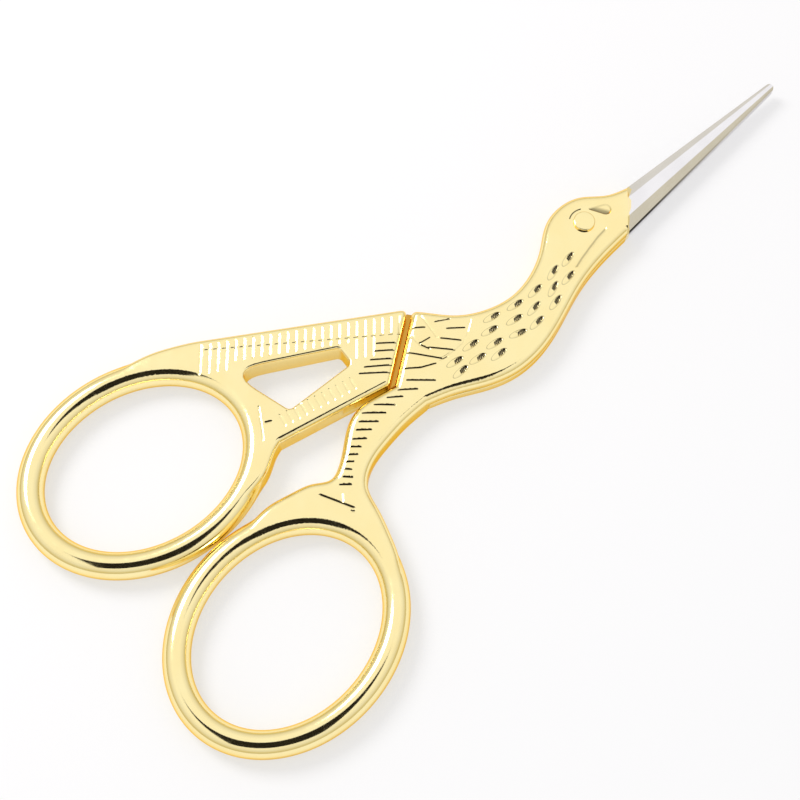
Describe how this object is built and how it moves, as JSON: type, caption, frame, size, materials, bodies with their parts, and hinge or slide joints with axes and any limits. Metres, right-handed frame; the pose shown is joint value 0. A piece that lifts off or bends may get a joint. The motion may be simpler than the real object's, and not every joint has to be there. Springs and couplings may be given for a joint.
{
  "type": "stork embroidery scissors",
  "caption": "Small embroidery scissors shaped like a stork: gold-plated halves with finger bows and a windowed tail, lap-jointed on an eye rivet, with slim bare steel blades as the beak.",
  "frame": {"origin": "middle of the closed scissors in plan, on the flat back that it rests on", "axes": "+X from the finger bows to the blade tips, +Y towards the stork's tail and back, +Z out of the decorated face"},
  "size_m": [0.094, 0.045, 0.0035],
  "materials": {
    "gold_plate": "bright gold plating on forged steel",
    "blade_steel": "ground and polished bare steel"
  },
  "bodies": {
    "front_half": {"front_handle": "gold_plate", "front_blade": "blade_steel", "pivot_rivet": "gold_plate"},
    "rear_half": {"rear_handle": "gold_plate", "rear_blade": "blade_steel"}
  },
  "joints": [
    {"name": "pivot_hinge", "type": "hinge", "parent": "front_half", "child": "rear_half", "pos_m": [0.0187, 0.00125, 0.00155], "axis": [0, 0, -1], "range_deg": [0, 60]}
  ]
}
